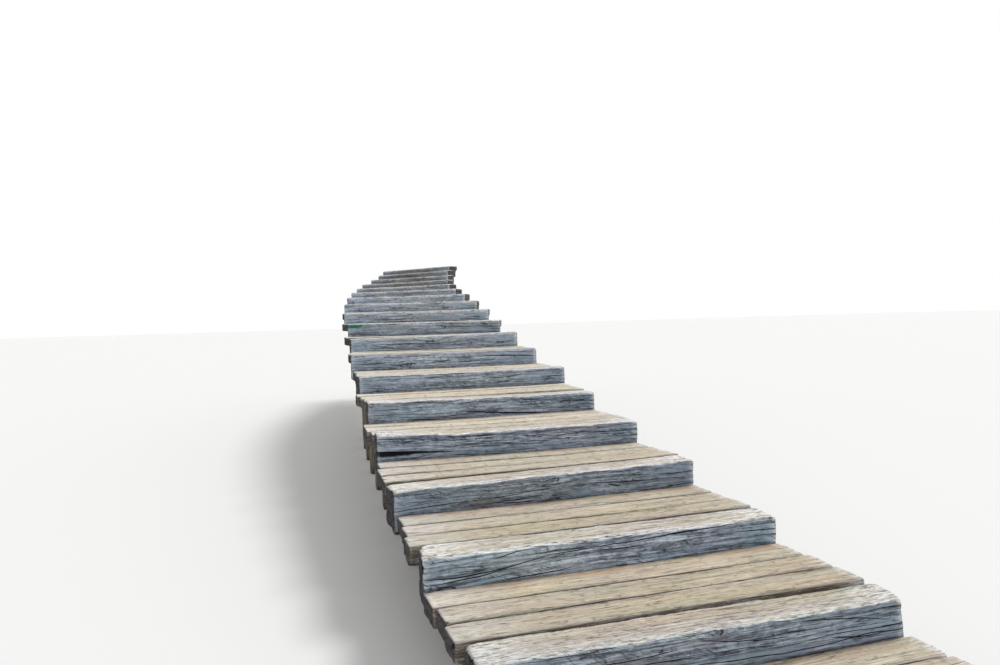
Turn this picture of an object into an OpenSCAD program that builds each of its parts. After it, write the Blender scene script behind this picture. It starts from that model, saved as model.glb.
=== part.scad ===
// A curving flight of hillside steps made of weathered timber.
// Each step is a squared riser beam with a tread of boards behind it. The boards and the next
// beam rest on a pair of bearers, which lap one over the other up the slope. The lowest pair lies
// on the ground, and each bearer above it has a post below its upper end that runs down to there.
// The origin is at the middle of the lowest beam's foot: X runs along that beam, Y is the
// way up and Z is height. All sizes are in millimetres and all turns in degrees.

/* [Flight] */
// Number of steps
steps = 19; // [12:1:19]
// Height from one tread to the next on the lower part of the flight
rise = 140; // [120:1:170]
// The same at the top of the flight, where the slope eases
top_rise = 103; // [90:1:150]
// Most by which an upper step lies above or below that even slope
slope_wander = 40; // [0:1:60]
// Distance along the walking line from one beam to the next
going = 690; // [620:1:780]
// Length of a riser beam, which is the width of the flight
flight_w = 1680; // [1300:10:2000]

/* [Bend] */
// Number of steps before the flight starts to bend and its slope to ease
steps_to_bend = 6; // [2:1:9]
// Turn of the top beam against the lowest, to the right
beam_angle = 50; // [0:1:56]
// Turn of the walking line at the top against the start, to the right
path_angle = 15; // [0:1:40]
// Most by which a single beam is turned against its neighbours
wander_angle = 0.7; // [0:0.1:1.5]
// Distance by which the flight swings from side to side on its way up
line_wander = 40; // [0:1:50]

/* [Riser beams] */
// Depth of a beam from front to back
beam_d = 178; // [140:1:210]
// Round worn onto the front top edge of a beam
beam_wear = 20; // [6:1:30]
// Round worn onto the top edge of a beam's end
beam_end_wear = 24; // [6:1:34]
// Corner lost from each upright edge of a beam
beam_corner = 16; // [4:1:24]

/* [Tread boards] */
// Boards on each tread
boards = 3; // [2:1:4]
// Thickness of a board
board_t = 80; // [50:1:95]
// Height by which the boards stand above the beams on average
board_proud = 3; // [0:1:8]
// Most by which a single board stands higher or lower than that
board_lift = 7; // [0:1:10]
// Gap between boards, and between a board and a beam
board_gap = 9; // [4:1:14]
// Share by which the boards of one tread differ in width
board_spread = 0.08; // [0:0.01:0.2]
// Round worn onto the long top edges of a board
board_wear = 9; // [3:1:14]
// Round worn onto the top edge of a board's end
board_end_wear = 11; // [4:1:16]
// Corner lost from each upright edge of a board
board_corner = 8; // [4:1:12]

/* [Uneven ends] */
// Most by which a beam ends short of or past the side line
beam_wander = 18; // [0:1:30]
// Length by which the boards run past the side line on average
board_past = 17; // [0:1:30]
// Most by which a single board ends short of or past that
board_wander = 18; // [0:1:30]
// Distance by which the beams' right ends are out of square on average
end_slant = 12; // [0:1:16]
// Most by which a single end of a beam is further out of square
end_skew = 9; // [0:1:14]

/* [Bearers and posts] */
// Width of a bearer
bearer_w = 110; // [80:1:150]
// Distance from the side of the flight to the middle of a bearer
bearer_inset = 230; // [150:1:350]
// Length by which a bearer runs on behind the beam that it carries
bearer_lap = 130; // [90:1:160]
// Space between the front end of a bearer and the beam before it
bearer_gap = 16; // [12:1:30]
// Side of a square post
post_w = 130; // [100:1:170]

/* [Hidden] */
steps_past_bend = steps - 1 - steps_to_bend;
// Flat facets that make up a worn round
wear_facets = 3;
// Length by which a tool that cuts an edge runs past it, in rounds of that edge
overrun = 3;
timber = "#b9ab93";
timber_face = "#8f939c";
timber_hidden = "#6f675c";

function two_digits(i) = str(i < 10 ? "0" : "", i);
function beam_name(i) = str("riser_beam_", two_digits(i));
function tread_name(i) = str("tread_boards_", two_digits(i));
// Sides of the flight as seen going up: -1 is left and 1 is right
SIDES = [-1, 1];
function side_name(side) = side < 0 ? "left" : "right";
// Row 0 holds the bearers of the even steps and row 1 those of the odd ones
function bearer_name(side, row) = str("bearers_", side_name(side), row == 0 ? "_even" : "_odd");
function post_name(side) = str("posts_", side_name(side));

// Unevenness of piece i from -1 to 1, the same each time. Each trait has an angle, by which one
// piece differs from the next, and a phase, at which the lowest piece starts.
function uneven(i, trait) = sin(i * trait[0] + trait[1]);
laid = [137.5, 104];
left_end = [92, 4];
right_end = [68, 64];
left_skew = [137.5, 200];
right_skew = [57, 48];
width = [44, 156];
lift = [163, 304];
left_board = [72, 88];
right_board = [41, 16];
// Swing from side to side: how far it goes on from one step to the next, and where it starts
line_angle = 32;
line_phase = 150;
// Wander of the slope: how far it goes on from one step to the next, and where it starts
dip_angle = 37;
steps_to_dip = 13.3;

// Share of the bend that lies below step i
function bent(i) = max(i - steps_to_bend, 0) / steps_past_bend;

// Depth of the foot of beam i below the even slope
function dip(i) = slope_wander * bent(i) * sin((i - steps_to_dip) * dip_angle);

// Rise from the foot of beam i to the foot of the next
function rise_at(i) = rise + (top_rise - rise) * bent(i) + dip(i) - dip(i + 1);

// Height of the foot of beam i
function level(i) = i == 0 ? 0 : level(i - 1) + rise_at(i - 1);

// Smooth passage from 0 to 1
function ease(t) = let (s = min(max(t, 0), 1)) s * s * (3 - 2 * s);

// Turn of beam i to the left
function turn(i) =
    -beam_angle * ease((i - steps_to_bend) / steps_past_bend)
    + (i == 0 ? 0 : wander_angle * uneven(i, laid));

// Turn to the left of the walking line between beams i and i + 1
function way(i) = -path_angle * ease((i + 0.5 - steps_to_bend) / steps_past_bend);

// Middle of beam i in plan
function mid(i) = i == 0 ? [0, 0] : mid(i - 1) + going * [-sin(way(i - 1)), cos(way(i - 1))];

// Shift of beam i to the right of the walking line
function shift(i) = line_wander * (sin(i * line_angle + line_phase) - sin(line_phase));

// Point of the plan that lies x along beam i and y behind its middle
function at_beam(i, x, y) =
    let (a = turn(i), s = x + shift(i))
    mid(i) + [s * cos(a) - y * sin(a), s * sin(a) + y * cos(a)];

function unit(v) = v / norm(v);

// Outline with each of its corners cut off at a distance c from it
function cut_corners(pts, c) = [
    for (k = [0 : len(pts) - 1])
        let (
            p = pts[k],
            before = pts[(k + len(pts) - 1) % len(pts)],
            after = pts[(k + 1) % len(pts)]
        )
        each [p + c * unit(before - p), p + c * unit(after - p)]
];

// Tool that wears a round of radius r onto the top edge from p to q, with the timber on its left
module edge_tool(p, q, r, height) {
    run = norm(q - p);
    round_off = [
        for (k = [0 : wear_facets])
            let (a = 90 * k / wear_facets) [r * sin(a) - r, r * cos(a) - r]
    ];
    translate([p.x, p.y, height])
        rotate([90, 0, atan2(q.y - p.y, q.x - p.x) - 90])
            translate([0, 0, -run - overrun * r])
                linear_extrude(run + 2 * overrun * r)
                    polygon(concat(round_off, [[r, -r], [r, r], [-r, r]]));
}

// Timber of a convex outline, listed anticlockwise from its front edge. Its top edges are worn
// at the front, the back and both ends, and a corner is lost from each upright edge.
module worn_timber(outline, height, front_wear, back_wear, end_wear, corner) {
    wear = [front_wear, end_wear, back_wear, end_wear];
    difference() {
        linear_extrude(height) polygon(cut_corners(outline, corner));
        for (k = [0 : 3])
            edge_tool(outline[k], outline[(k + 1) % 4], wear[k], height);
    }
}

// Outline of beam i, with ends that are neither in line nor quite square
function beam_outline(i) =
    let (
        left = -flight_w / 2 + beam_wander * uneven(i, left_end),
        right = flight_w / 2 + beam_wander * uneven(i, right_end),
        skew_left = end_skew * uneven(i, left_skew),
        skew_right = end_slant + end_skew * uneven(i, right_skew)
    ) [
        [left - skew_left, -beam_d / 2],
        [right - skew_right, -beam_d / 2],
        [right + skew_right, beam_d / 2],
        [left + skew_left, beam_d / 2]
    ];

// A beam reaches from the foot of its rise to the tops of the boards behind it
module riser_beam(i) {
    middle = at_beam(i, 0, 0);
    color(timber_face)
        translate([middle.x, middle.y, level(i)])
            rotate(turn(i))
                worn_timber(beam_outline(i), rise_at(i) + board_t,
                    beam_wear, board_wear, beam_end_wear, beam_corner);
}

// Number of board j of step i: the front boards come first, then the row behind them
function board_number(i, j) = i + steps * j;

// Share of the tread that board j of step i takes
function board_share(i, j) =
    let (raw = [for (k = [0 : boards - 1]) 1 + board_spread * uneven(board_number(i, k), width)])
    raw[j] / (raw * [for (k = raw) 1]);

// Distance of the front edge of board j behind beam i, where the tread is depth deep
function board_start(i, j, depth) =
    j == 0 ? board_gap
           : board_start(i, j - 1, depth) + board_width(i, j - 1, depth) + board_gap;
function board_width(i, j, depth) = (depth - (boards + 1) * board_gap) * board_share(i, j);

// Ends of the front and back edges of board j at one side of tread i: side is -1 left, 1 right.
// Each board tapers with its tread, so that all the gaps stay even where the flight bends.
function board_side(i, j, side) =
    let (
        near = at_beam(i, side * flight_w / 2, beam_d / 2),
        far = at_beam(i + 1, side * flight_w / 2, -beam_d / 2),
        depth = norm(far - near),
        back = unit(far - near),
        start = board_start(i, j, depth)
    ) [near + back * start, near + back * (start + board_width(i, j, depth))];

function board_outline(i, j) =
    let (
        left = board_side(i, j, -1),
        right = board_side(i, j, 1),
        along = unit(right[0] - left[0]),
        past_left = along * (-board_past + board_wander * uneven(board_number(i, j), left_board)),
        past_right = along * (board_past + board_wander * uneven(board_number(i, j), right_board))
    ) [left[0] + past_left, right[0] + past_right, right[1] + past_right, left[1] + past_left];

module tread_boards(i) {
    color(timber)
        translate([0, 0, level(i + 1)])
            for (j = [0 : boards - 1]) {
                thickness = board_t + board_proud + board_lift * uneven(board_number(i, j), lift);
                worn_timber(board_outline(i, j), thickness,
                    board_wear, board_wear, board_end_wear, board_corner);
            }
}

// Plan of the bearer of step i at one side: its front end, and the point below the next beam
function bearer_front(i, side) =
    at_beam(i, side * (flight_w / 2 - bearer_inset), beam_d / 2 + bearer_gap);
function bearer_rest(i, side) = at_beam(i + 1, side * (flight_w / 2 - bearer_inset), 0);

// The top bearers carry no beam and end with the last board
module bearers(side, row) {
    color(timber_hidden)
        for (i = [row : 2 : steps - 1]) {
            front = bearer_front(i, side);
            run = bearer_rest(i, side) - front;
            length = norm(run) + (i < steps - 1 ? beam_d / 2 + bearer_lap : -beam_d / 2 - board_gap);
            translate([front.x, front.y, level(i)])
                rotate(atan2(run.y, run.x))
                    translate([0, -bearer_w / 2, 0])
                        cube([length, bearer_w, rise_at(i)]);
        }
}

// The lowest bearers lie on the ground and have no post
module posts(side) {
    color(timber_hidden)
        for (i = [1 : steps - 1]) {
            front = bearer_front(i, side);
            run = bearer_rest(i, side) - front;
            back = i < steps - 1 ? 0 : beam_d / 2 + board_gap + post_w / 2;
            foot = front + unit(run) * (norm(run) - back);
            translate([foot.x, foot.y, 0])
                rotate(atan2(run.y, run.x))
                    translate([-post_w / 2, -post_w / 2, 0])
                        cube([post_w, post_w, level(i)]);
        }
}

for (i = [0 : steps - 1]) riser_beam(i);
for (i = [0 : steps - 1]) tread_boards(i);
for (side = SIDES, row = [0, 1])
    bearers(side, row);
for (side = SIDES) posts(side);
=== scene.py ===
"""Dresses the flight of timber hillside steps. Every beam, board, bearer and post is rebuilt as a
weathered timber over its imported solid, and the flight stands on a plain pale floor."""

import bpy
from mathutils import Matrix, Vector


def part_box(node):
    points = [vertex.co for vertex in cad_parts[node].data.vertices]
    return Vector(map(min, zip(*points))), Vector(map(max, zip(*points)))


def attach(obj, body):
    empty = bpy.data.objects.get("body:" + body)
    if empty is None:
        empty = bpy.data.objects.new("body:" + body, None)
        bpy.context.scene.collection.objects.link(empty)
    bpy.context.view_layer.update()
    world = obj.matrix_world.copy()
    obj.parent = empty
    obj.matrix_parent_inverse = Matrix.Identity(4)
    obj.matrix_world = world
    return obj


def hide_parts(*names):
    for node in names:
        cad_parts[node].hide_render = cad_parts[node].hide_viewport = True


bl_info = {
    "name": "Timber Hillside Steps",
    "version": (1, 0, 0),
    "blender": (4, 5, 0),
    "location": "View3D > Sidebar > Steps",
    "description": "Weathered riser beams, tread boards and their supports",
    "category": "Object",
}

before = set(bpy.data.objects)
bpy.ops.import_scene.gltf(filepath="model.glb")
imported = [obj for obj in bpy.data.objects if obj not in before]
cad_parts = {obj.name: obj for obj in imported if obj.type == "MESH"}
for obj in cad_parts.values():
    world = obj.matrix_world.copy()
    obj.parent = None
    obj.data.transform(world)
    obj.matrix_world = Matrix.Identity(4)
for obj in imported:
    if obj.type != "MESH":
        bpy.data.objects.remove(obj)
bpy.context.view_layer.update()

import math

import bpy
import numpy as np
from bpy.props import FloatProperty, FloatVectorProperty, IntProperty, PointerProperty
from mathutils import Matrix, Vector

# An edge of a timber's outline shorter than this is a corner that was cut off it
SHORTEST_SIDE = 0.03
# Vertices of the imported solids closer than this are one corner
SAME_PLACE = 1e-4
# Steps this near the camera are built with fine cells
NEAR_STEPS = 5
# Numbers that tell the timbers apart: beams count from 0, boards and supports from these
FIRST_BOARD = 40
FIRST_SUPPORT = 120
# Boards of a tread
BOARDS = 3
# Height of a beam's front that the boards before it hide
HIDDEN_FOOT = 0.08
# Cells along, across and up of each kind of timber, near the camera and further off
NEAR_BEAM_CELLS = (230, 30, 38)
FAR_BEAM_CELLS = (80, 12, 16)
NEAR_BOARD_CELLS = (130, 16, 8)
FAR_BOARD_CELLS = (50, 8, 6)
SUPPORT_CELLS = (14, 6, 6)
# What a point says about the place of its timber: the middle and the half axes
AXES = ("centre", "along", "across", "taper", "upright")
# How far the patterns of one timber lie from those of the next
PATTERN_STEP = 3.7
# Noise is level on whole numbers, so a coordinate that stays still does so between two of them
BETWEEN = 0.4
# Half width of a crack where it has closed, because a range can't be nil
CLOSED = 0.00001

# Long splits in the fronts of the riser beams, by the beam's number. Each has its start and its
# end, as a distance along the beam from its middle and a depth below its front top edge, how far
# it sags between them, and its half width.
SPLITS = {
    1: (
        ((-0.03, 0.038), (0.32, 0.073), 0.006, 0.0022),
        ((0.38, 0.022), (0.76, 0.068), -0.006, 0.0024),
        ((0.50, 0.100), (0.70, 0.116), 0.004, 0.0030),
        ((-0.80, 0.085), (-0.10, 0.108), 0.010, 0.0024),
    ),
    2: (
        ((-0.86, 0.088), (-0.286, 0.043), 0.023, 0.0030),
        ((-0.36, 0.050), (0.83, -0.001), 0.002, 0.0030),
        ((-0.54, 0.036), (-0.42, 0.014), 0.002, 0.0022),
        ((-0.38, 0.129), (-0.18, 0.109), 0.002, 0.0024),
    ),
    3: (
        ((-0.85, 0.112), (-0.35, 0.095), -0.006, 0.0022),
        ((0.12, 0.060), (0.78, 0.085), 0.008, 0.0024),
        ((0.315, 0.082), (0.385, 0.100), 0.002, 0.0042),
        ((-0.33, 0.118), (-0.10, 0.132), 0.003, 0.0026),
    ),
    4: (
        ((-0.82, 0.022), (-0.48, 0.030), 0.002, 0.0018),
        ((-0.40, 0.126), (-0.22, 0.138), 0.001, 0.0026),
        ((0.42, 0.042), (0.84, 0.060), 0.003, 0.0026),
        ((0.15, 0.066), (0.345, 0.080), 0.0, 0.0024),
    ),
    5: (
        ((-0.58, 0.130), (-0.33, 0.139), 0.001, 0.0040),
        ((-0.14, 0.093), (0.47, 0.133), 0.010, 0.0068),
    ),
    6: (
        ((0.20, 0.066), (0.47, 0.042), 0.003, 0.0028),
        ((0.64, 0.070), (0.85, 0.072), -0.004, 0.0036),
    ),
    7: (
        ((-0.46, 0.104), (-0.26, 0.086), 0.002, 0.0044),
        ((-0.14, 0.083), (0.05, 0.080), 0.002, 0.0036),
        ((0.33, 0.045), (0.83, 0.070), -0.002, 0.0036),
    ),
    8: (
        ((-0.60, 0.060), (0.10, 0.080), 0.008, 0.0030),
        ((-0.55, 0.092), (-0.40, 0.110), 0.002, 0.0040),
    ),
    9: (
        ((0.10, 0.045), (0.50, 0.060), 0.010, 0.0036),
        ((-0.47, 0.008), (-0.30, 0.022), 0.0, 0.0046),
        ((0.60, 0.030), (0.69, 0.052), 0.0, 0.0060),
    ),
}
MOST_SPLITS = max(len(splits) for splits in SPLITS.values())
NO_SPLIT = ((0, 0), (1, 0), 0, 0)
# Splits that gape at a beam's left end: depth below the top, half height and length
GAPES = {4: (0.107, 0.0075, 0.46)}
# How far a gape runs in over the end from the front, how deep it is, and how far it lifts the
# timber above it, in half heights
GAPE_REACH = 0.07
GAPE_DEPTH = 0.03
GAPE_LIFT = 3.0
# How far the line of a gape wavers
GAPE_WAVER = 0.008
# Knots in the fronts of the beams: the distance along the beam from its middle, the depth below
# its top and the radius
KNOTS = {1: (0.031, 0.016, 0.013), 3: (0.012, 0.031, 0.012), 4: (0.348, 0.078, 0.008),
         7: (-0.342, 0.100, 0.014), 8: (0.337, 0.090, 0.011), 9: (0.190, 0.062, 0.020)}
# Green paint on the fronts: the start and the end of a mark along the beam and its strength, and
# its top and its foot below the beam's top
PAINT = {2: ((0.66, 0.77, 0.2), (0.06, 0.14, 0.0)), 9: ((-0.83, -0.67, 0.9), (0.008, 0.048, 0.0))}
# Timbers of which an end lies higher or lower than it was laid, in metres: the left end and the
# right end
LIFTS = {3: (-0.016, 0.006), 5: (0.005, -0.014), 8: (-0.012, 0.012),
         43: (-0.008, 0.007), 44: (0.008, 0.017), 45: (0.004, 0.016),
         46: (0.004, 0.010), 47: (-0.009, -0.003), 48: (0.001, 0.005),
         49: (-0.016, -0.003), 51: (-0.003, -0.007),
         52: (0.003, 0.003), 53: (-0.010, -0.010), 54: (0.003, 0.0)}
# Timbers of which an end reaches further or less far than it was laid, in metres: the left end
# and the right end
STRETCHES = {1: (0.0, 0.018), 2: (0.0, 0.020), 3: (0.004, 0.024), 4: (0.008, 0.016), 5: (0.012, 0.0),
             6: (0.004, 0.020), 7: (0.0, 0.006), 8: (0.0, 0.024), 9: (0.004, 0.0),
             43: (0.0, -0.025), 44: (0.0, -0.022), 45: (0.0, -0.018), 46: (0.0, -0.032),
             47: (0.0, -0.028), 48: (0.0, -0.012), 49: (0.0, -0.016)}
# Tones of single timbers beside the others of their kind: the front or side and the top
TONES = {1: (0.98, 0.96), 2: (1.19, 1.05), 3: (0.82, 1.14), 4: (0.95, 1.12), 5: (1.04, 1.05),
         6: (0.95, 0.96), 7: (1.15, 0.65), 8: (1.08, 1.02), 9: (0.92, 1.30), 10: (1.12, 1.0),
         11: (1.06, 1.0), 12: (1.22, 1.0), 13: (1.12, 1.0), 14: (1.12, 1.0), 17: (0.94, 1.0),
         18: (0.94, 1.0),
         43: (1.0, 0.94), 46: (1.0, 0.93), 48: (1.0, 0.90), 50: (1.0, 0.94), 51: (1.0, 0.92),
         57: (1.0, 1.14)}
# How far the tones of the rest stray to both sides, and how far each is from the last, as an angle
TONE_SPREAD = 0.06
TONE_TURN = 2.4
# How far patches of a timber stray from its own colour, in red, green and blue
HUE_LEAN = (0.20, 0.12, 0.20)
# How far the fine ridges along the grain stand out
RIDGES = 0.006
# How evenly the cells are spread over a timber, from 0, which draws them to its edges, to 1
EVEN = 0.45
# Share of the height by which a board stands above or below the beam before it that traffic has
# since evened out, for the boards without a lift of their own
SETTLED = 0.75


def colour_property(name, description, default):
    """A colour that can be set in the sidebar."""
    return FloatVectorProperty(
        name=name, description=description, default=default, size=3, min=0, max=1, subtype="COLOR"
    )


def length_property(name, description, default):
    """A length in metres that can be set in the sidebar."""
    return FloatProperty(
        name=name, description=description, default=default, min=0, subtype="DISTANCE", unit="LENGTH"
    )


class StepsColours(bpy.types.PropertyGroup):
    """Colours of the weathered timber."""

    # The silver tones of the fronts are bluer and darker than the weathered wood alone: partly weathered
    # silver, partly painted shade of faces turned from the light
    silver_dark: colour_property(
        "Silver dark", "Dark streaks of the faces that nobody treads on", (0.12, 0.144, 0.184)
    )
    silver: colour_property("Silver", "Middle tone of those faces", (0.31, 0.367, 0.45))
    silver_pale: colour_property("Silver pale", "Pale streaks of those faces", (0.62, 0.712, 0.83))
    silver_dull: colour_property("Silver dull", "Duller patches of those faces", (0.245, 0.232, 0.262))
    silver_blue: colour_property("Silver blue", "Bluer patches near the foot of them", (0.31, 0.41, 0.52))
    silver_worn: colour_property("Silver worn", "The uppermost beams, the darkest", (0.135, 0.114, 0.104))
    tan_dark: colour_property("Tan dark", "Dark streaks of the trodden boards", (0.32, 0.27, 0.205))
    tan: colour_property("Tan", "Middle tone of the trodden boards", (0.575, 0.495, 0.365))
    tan_pale: colour_property("Tan pale", "Pale streaks of the trodden boards", (0.715, 0.64, 0.515))
    sand: colour_property("Sand", "The upper boards, which the sun has paled", (0.78, 0.715, 0.60))
    top_dark: colour_property("Top dark", "Dark streaks on top of a riser beam", (0.235, 0.225, 0.205))
    top: colour_property("Top", "Middle tone on top of a riser beam", (0.53, 0.49, 0.43))
    top_pale: colour_property("Top pale", "Pale streaks on top of a riser beam", (0.72, 0.69, 0.64))
    # Bleached also serves as the painted highlight on rounded edges and end rims
    bleached: colour_property("Bleached", "Worn edges, bleached by the weather", (0.87, 0.875, 0.87))
    # Gap also darkens the foot of each beam's front, as painted shade with dirt
    gap: colour_property("Gap", "Dirt along the gaps between boards", (0.145, 0.115, 0.085))
    side_dark: colour_property("Side dark", "Dark streaks of the sides of the boards", (0.105, 0.092, 0.080))
    side: colour_property("Side", "Middle tone of the sides of the boards", (0.285, 0.255, 0.22))
    side_pale: colour_property("Side pale", "Pale streaks of the sides of the boards", (0.42, 0.40, 0.375))
    stain: colour_property("Stain", "Damp stain at the rear of a tread", (0.42, 0.31, 0.23))
    end_grain: colour_property("End grain", "Sawn ends", (0.050, 0.048, 0.050))
    end_grain_pale: colour_property("End grain pale", "Pale rings of the sawn ends", (0.24, 0.235, 0.23))
    split: colour_property("Split", "Inside of a check", (0.008, 0.0075, 0.008))
    rough_sawn: colour_property("Rough sawn", "Bearers and posts", (0.20, 0.175, 0.145))
    paint: colour_property("Paint", "Green paint that marks two beams", (0.05, 0.285, 0.20))


class StepsWear(bpy.types.PropertyGroup):
    """Sizes of the wear on the timber."""

    beam_round: length_property("Beam round", "Round of a beam's edges", 0.009)
    beam_front_round: length_property("Beam front round", "Round of a beam's front top edge", 0.013)
    beam_end_round: length_property("Beam end round", "Round of a beam's ends", 0.021)
    board_round: length_property("Board round", "Round of a board's edges", 0.005)
    board_end_round: length_property("Board end round", "Round of a board's ends", 0.014)
    support_round: length_property("Support round", "Round of bearers and posts", 0.005)
    wander: length_property("Wander", "How far the edges stray from straight", 0.006)
    hollow: length_property("Hollow", "Depth trodden into the middle of a tread", 0.004)
    chips: length_property("Chips", "Depth of the splinters lost along the edges of a beam", 0.005)
    check_depth: length_property("Check depth", "Depth of the checks and the grain", 0.006)
    seed: IntProperty(name="Seed", description="Number that picks this pattern of wear", default=4)


class StepsStage(bpy.types.PropertyGroup):
    """Floor, light and camera."""

    floor: colour_property("Floor", "Colour of the floor", (0.86, 0.86, 0.85))
    even_light: FloatProperty(
        name="Even light", description="Strength of the light from all round", default=0.62, min=0
    )
    lamp: FloatProperty(name="Lamp", description="Strength of the lamp overhead", default=1.75, min=0)
    lens: FloatProperty(
        name="Lens", description="Focal length in millimetres", default=25.95, min=1, unit="CAMERA"
    )


class Nodes:
    """Adds nodes to a tree. A value is a number, a tuple or the socket of another node."""

    def __init__(self, tree):
        self.tree = tree

    def put(self, kind, inputs=None, out=0, **settings):
        """One node with its settings and inputs, of which the asked output comes back if it has any."""
        node = self.tree.nodes.new(kind)
        for name, value in settings.items():
            setattr(node, name, value)
        for key, value in (inputs or {}).items():
            if isinstance(value, bpy.types.NodeSocket):
                self.tree.links.new(value, node.inputs[key])
            else:
                node.inputs[key].default_value = value
        return node.outputs[out] if node.outputs else None

    def group(self, tree, values):
        """A node group with its inputs, of which all outputs come back."""
        return self.put("ShaderNodeGroup", values, node_tree=tree).node.outputs

    def math(self, operation, *values):
        """A Math node."""
        return self.put("ShaderNodeMath", dict(enumerate(values)), operation=operation)

    def plus(self, a, b):
        """Sum of two numbers."""
        return self.math("ADD", a, b)

    def minus(self, a, b):
        """Difference of two numbers."""
        return self.math("SUBTRACT", a, b)

    def times(self, a, b):
        """Product of two numbers."""
        return self.math("MULTIPLY", a, b)

    def centred(self, noise):
        """A noise, which lies about 0.5, brought to lie about nought."""
        return self.minus(noise, 0.5)

    def size(self, a):
        """A number without its sign."""
        return self.math("ABSOLUTE", a)

    def largest(self, first, *others):
        """Largest of some numbers."""
        for other in others:
            first = self.math("MAXIMUM", first, other)
        return first

    def vector(self, operation, *values):
        """A Vector Math node. Its number output is used where the result is a number."""
        out = 1 if operation in ("LENGTH", "DOT_PRODUCT", "DISTANCE") else 0
        return self.put("ShaderNodeVectorMath", dict(enumerate(values)), out=out, operation=operation)

    def scaled(self, vector, factor):
        """A vector times a number."""
        return self.put("ShaderNodeVectorMath", {0: vector, 3: factor}, operation="SCALE")

    def joined(self, x, y, z):
        """A vector from three numbers."""
        return self.put("ShaderNodeCombineXYZ", {0: x, 1: y, 2: z})

    def parts(self, vector):
        """The three numbers of a vector."""
        split = self.put("ShaderNodeSeparateXYZ", {0: vector}).node
        return split.outputs[0], split.outputs[1], split.outputs[2]

    def ramp(self, value, low, high, to_low=0.0, to_high=1.0):
        """A number led smoothly from one range to another."""
        return self.put(
            "ShaderNodeMapRange",
            {0: value, 1: low, 2: high, 3: to_low, 4: to_high},
            interpolation_type="SMOOTHSTEP",
        )

    def blend(self, factor, low, high):
        """A number between two others."""
        return self.put("ShaderNodeMix", {0: factor, 2: low, 3: high}, data_type="FLOAT")

    def tint(self, factor, low, high, blend_type="MIX"):
        """A colour between two others."""
        return self.put(
            "ShaderNodeMix", {0: factor, 6: low, 7: high}, out=2, data_type="RGBA", blend_type=blend_type
        )

    def stored(self, name):
        """A vector that the surface carries."""
        return self.put("ShaderNodeAttribute", out=1, attribute_name=name)

    def stored_number(self, name):
        """A number that the surface carries."""
        return self.put("ShaderNodeAttribute", out=2, attribute_name=name)

    def noise(self, vector, number, detail=2.0, roughness=0.5, out=0):
        """Noise in space, another for each number."""
        return self.put(
            "ShaderNodeTexNoise",
            {"Vector": vector, "W": number, "Scale": 1.0, "Detail": detail, "Roughness": roughness},
            out=out,
            noise_dimensions="4D",
        )

    def flat_noise(self, x, y, number, detail=2.0, roughness=0.5):
        """Noise over two lengths, another for each number."""
        return self.put(
            "ShaderNodeTexNoise",
            {"Vector": self.joined(x, y, number), "Scale": 1.0, "Detail": detail, "Roughness": roughness},
            noise_dimensions="3D",
        )


def new_tree(name, kind, inputs, outputs):
    """A node group with named sockets, its inputs by name, its helper and its output node."""
    tree = bpy.data.node_groups.new(name, kind)
    for in_out, sockets in (("INPUT", inputs), ("OUTPUT", outputs)):
        for label, socket_type in sockets:
            tree.interface.new_socket(label, in_out=in_out, socket_type="NodeSocket" + socket_type)
    given = tree.nodes.new("NodeGroupInput")
    result = tree.nodes.new("NodeGroupOutput")
    return tree, {socket.name: socket for socket in given.outputs if socket.name}, Nodes(tree), result


def shader_group(name, inputs, outputs, fill):
    """A shader node group of numbers, made once. The fill function gives its outputs in order."""
    if name in bpy.data.node_groups:
        return bpy.data.node_groups[name]
    sockets = [[(label, "Float") for label in labels] for labels in (inputs, outputs)]
    tree, given, nodes, result = new_tree(name, "ShaderNodeTree", *sockets)
    for label, value in zip(outputs, fill(nodes, given)):
        tree.links.new(value, result.inputs[label])
    return tree


def gape_parts(nodes, x, below_top, to_end, to_side, gape):
    """Where a split gapes at the left end of a timber, how far open it is, and what lies above."""
    depth, half_height, length = nodes.parts(gape)
    # It widens towards the left end, and over the end it narrows again as it runs in
    opening = nodes.largest(nodes.minus(1.0, nodes.math("DIVIDE", to_end, length)), 0.0)
    opening = nodes.times(nodes.math("POWER", opening, 0.7), nodes.math("LESS_THAN", x, 0.0))
    inwards = nodes.largest(nodes.minus(1.0, nodes.times(to_side, 1 / GAPE_REACH)), 0.0)
    shake = nodes.times(nodes.centred(nodes.flat_noise(nodes.times(x, 8.0), BETWEEN, 5.3)), GAPE_WAVER)
    off = nodes.minus(nodes.plus(depth, shake), below_top)
    width = nodes.times(half_height, nodes.times(opening, inwards))
    width = nodes.largest(width, CLOSED)
    mask = nodes.ramp(nodes.size(off), width, nodes.times(width, 0.6))
    lift = nodes.times(nodes.times(half_height, GAPE_LIFT), opening)
    lift = nodes.times(lift, nodes.ramp(off, -0.001, 0.001))
    return mask, opening, lift


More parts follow.
